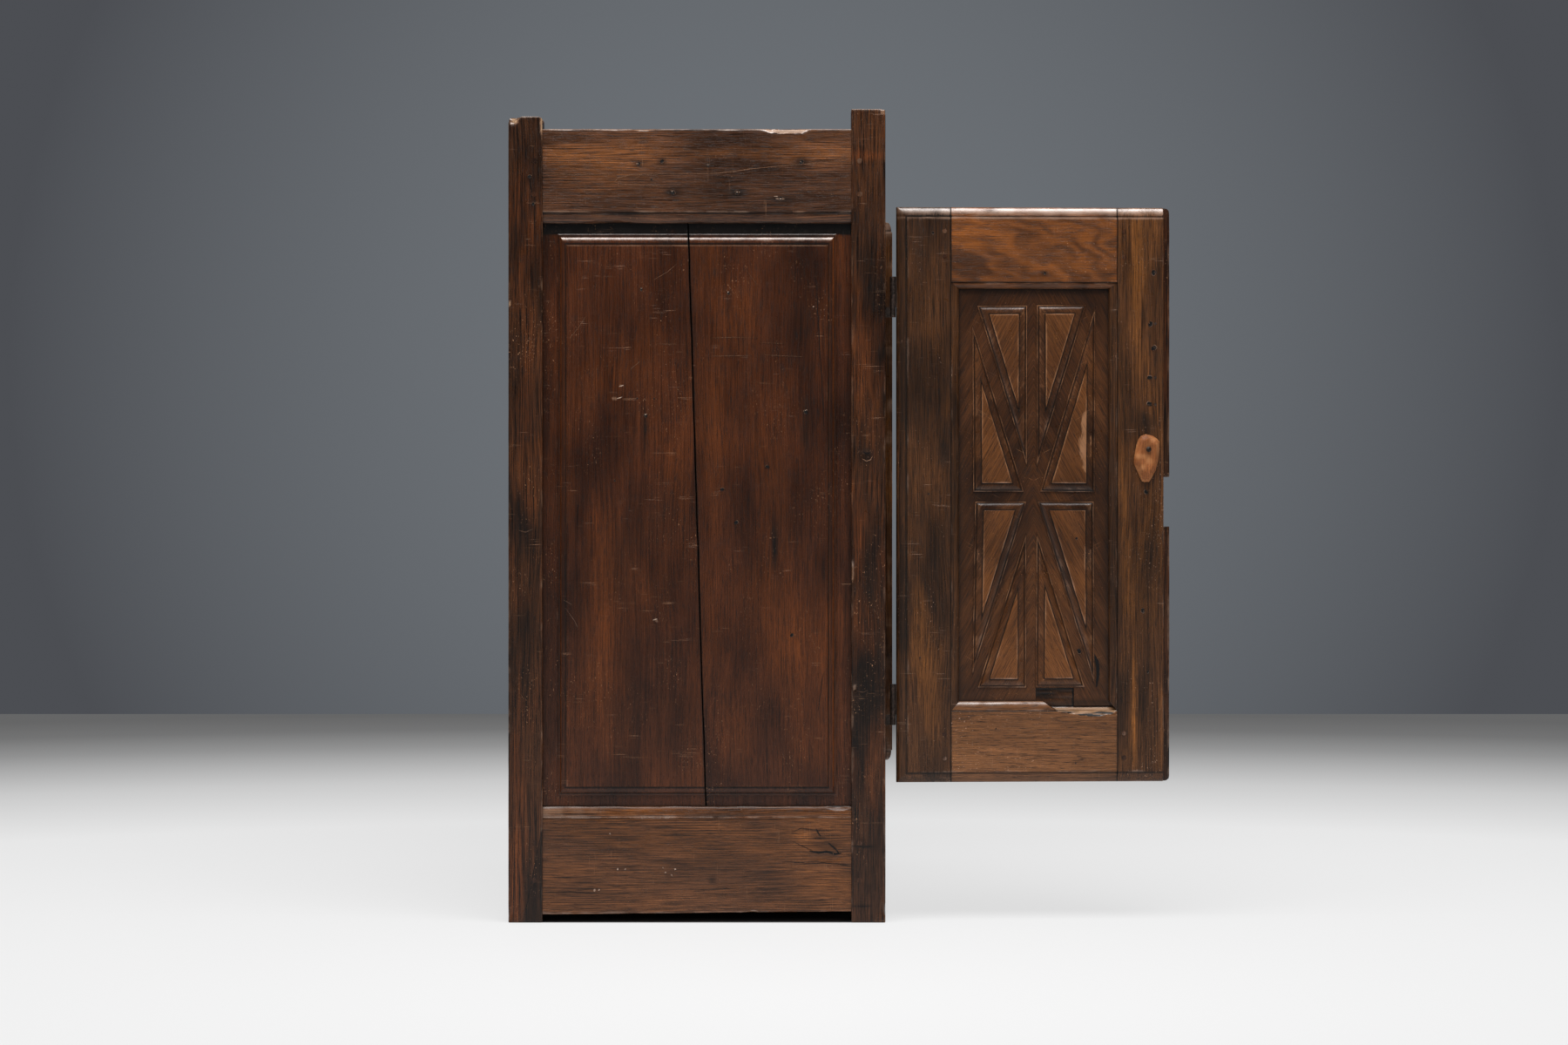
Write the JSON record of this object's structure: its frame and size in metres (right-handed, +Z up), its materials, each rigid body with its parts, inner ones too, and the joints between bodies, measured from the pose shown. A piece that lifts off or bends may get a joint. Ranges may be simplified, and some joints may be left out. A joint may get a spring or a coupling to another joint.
{
  "type": "two-door joined cupboard",
  "caption": "Free-standing joined wooden cupboard with posts above the rails, raised side panels, framed doors with carved panels on lift-off hinges, and a wooden turn-button.",
  "frame": {"origin": "outer front corner of the left front post, on the floor", "axes": "+X along the front to the right, +Y to the back, +Z up; the doors lie at negative Y"},
  "size_m": [0.878, 0.9923, 1.215],
  "materials": {
    "frame_wood": "old dark wax",
    "panel_wood": "red-brown polish",
    "door_wood": "worn brown wax",
    "carved_wood": "worn brown wax",
    "inner_wood": "dry unfinished",
    "peg_wood": "old dark wax",
    "raw_wood": "raw whittled",
    "iron": "dark forged"
  },
  "bodies": {
    "carcase": {"left_front_post": "frame_wood", "left_back_post": "frame_wood", "left_side_top_rail": "frame_wood", "left_side_bottom_rail": "frame_wood", "left_side_panel_front_board": "panel_wood", "left_side_panel_back_board": "panel_wood", "left_top_cleat": "inner_wood", "left_floor_cleat": "inner_wood", "left_shelf_bearer": "inner_wood", "left_post_hinge_leaf_upper": "iron", "left_post_hinge_leaf_lower": "iron", "right_front_post": "frame_wood", "right_back_post": "frame_wood", "right_side_top_rail": "frame_wood", "right_side_bottom_rail": "frame_wood", "right_side_panel_front_board": "panel_wood", "right_side_panel_back_board": "panel_wood", "right_top_cleat": "inner_wood", "right_floor_cleat": "inner_wood", "right_shelf_bearer": "inner_wood", "right_post_hinge_leaf_upper": "iron", "right_post_hinge_leaf_lower": "iron", "front_top_rail": "frame_wood", "front_bottom_rail": "frame_wood", "back_top_rail": "frame_wood", "back_bottom_rail": "frame_wood", "back_board_1": "inner_wood", "back_board_2": "inner_wood", "back_board_3": "inner_wood", "back_board_4": "inner_wood", "top_board_front": "inner_wood", "top_board_back": "inner_wood", "floor_board_front": "inner_wood", "floor_board_back": "inner_wood", "shelf_board": "inner_wood", "frame_pegs": "peg_wood", "carcase_nails": "iron"},
    "left_door": {"left_door_hinge_stile": "door_wood", "left_door_meeting_stile": "door_wood", "left_door_top_rail": "door_wood", "left_door_bottom_rail": "door_wood", "left_door_panel": "carved_wood", "left_door_pegs": "peg_wood", "left_door_nails": "iron", "left_door_hinge_leaf_upper": "iron", "left_door_hinge_leaf_lower": "iron", "left_door_strip_upper": "frame_wood", "left_door_strip_lower": "frame_wood", "turn_button_nail": "iron"},
    "turn_button": {"turn_button": "raw_wood"},
    "right_door": {"right_door_hinge_stile": "door_wood", "right_door_meeting_stile": "door_wood", "right_door_top_rail": "door_wood", "right_door_bottom_rail": "door_wood", "right_door_panel": "carved_wood", "right_door_pegs": "peg_wood", "right_door_nails": "iron", "right_door_hinge_leaf_upper": "iron", "right_door_hinge_leaf_lower": "iron"}
  },
  "joints": [
    {"name": "left_door", "type": "hinge", "parent": "carcase", "child": "left_door", "pos_m": [0.026, -0.0112, 0.2936], "axis": [0, 0, -1], "range_deg": [-87, 83]},
    {"name": "turn_button", "type": "hinge", "parent": "left_door", "child": "turn_button", "pos_m": [0.03525, -0.39399, 0.7067], "axis": [-0.9986, -0.0523, 0], "continuous": true},
    {"name": "right_door", "type": "hinge", "parent": "carcase", "child": "right_door", "pos_m": [0.852, -0.0112, 0.2936], "axis": [0, 0, 1], "range_deg": [0, 170]}
  ]
}
